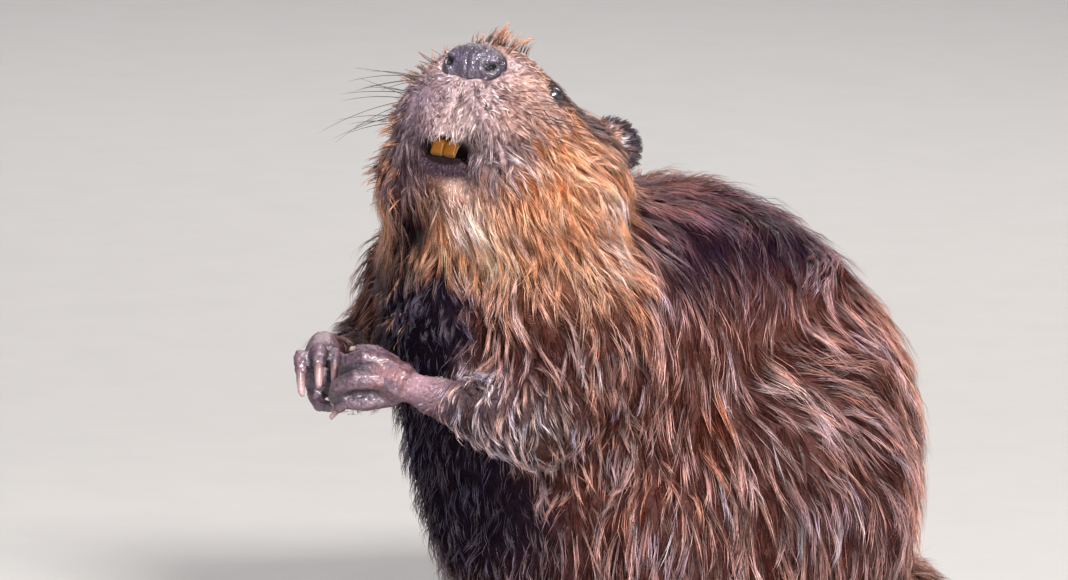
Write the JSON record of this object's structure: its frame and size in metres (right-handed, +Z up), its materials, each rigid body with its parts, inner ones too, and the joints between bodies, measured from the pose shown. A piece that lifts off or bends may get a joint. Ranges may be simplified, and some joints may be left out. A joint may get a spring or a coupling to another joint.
{
  "type": "beaver",
  "caption": "Life-size North American beaver sitting up on its haunches, forepaws clasped at its chest and head raised and turned to its left; a still model that stands on its own.",
  "frame": {"origin": "on the floor, below the middle of the animal's bounding box", "axes": "+Z up; the body faces -Y and the tail lies along +Y; +X is the animal's left"},
  "size_m": [0.3558, 0.6806, 0.3833],
  "materials": {
    "fur": "long coarse guard hairs over dense underfur",
    "bare_skin": "bare dark skin of the paws",
    "nose_skin": "pebbled moist skin",
    "scaly_skin": "leathery scales",
    "enamel": "orange tooth enamel",
    "claw_horn": "smooth horn",
    "eye": "wet and glossy"
  },
  "bodies": {
    "root": {"claw_foot_left_1": "claw_horn", "claw_foot_left_2": "claw_horn", "claw_foot_left_3": "claw_horn", "claw_foot_left_4": "claw_horn", "claw_foot_left_5": "claw_horn", "claw_foot_right_1": "claw_horn", "claw_foot_right_2": "claw_horn", "claw_foot_right_3": "claw_horn", "claw_foot_right_4": "claw_horn", "claw_foot_right_5": "claw_horn", "claw_hand_left_1": "claw_horn", "claw_hand_left_2": "claw_horn", "claw_hand_left_3": "claw_horn", "claw_hand_left_4": "claw_horn", "claw_hand_left_5": "claw_horn", "claw_hand_right_1": "claw_horn", "claw_hand_right_2": "claw_horn", "claw_hand_right_3": "claw_horn", "claw_hand_right_4": "claw_horn", "claw_hand_right_5": "claw_horn", "ear_left": "fur", "ear_right": "fur", "eye_left": "eye", "eye_right": "eye", "foot_left": "bare_skin", "foot_right": "bare_skin", "forearm_left": "fur", "forearm_right": "fur", "hand_left": "bare_skin", "hand_right": "bare_skin", "head": "fur", "incisor_left": "enamel", "incisor_right": "enamel", "lower_jaw": "fur", "neck": "fur", "nose_pad": "nose_skin", "shin_left": "fur", "shin_right": "fur", "tail_blade": "scaly_skin", "tail_root": "fur", "thigh_left": "fur", "thigh_right": "fur", "trunk": "fur", "upper_arm_left": "fur", "upper_arm_right": "fur"}
  },
  "joints": []
}
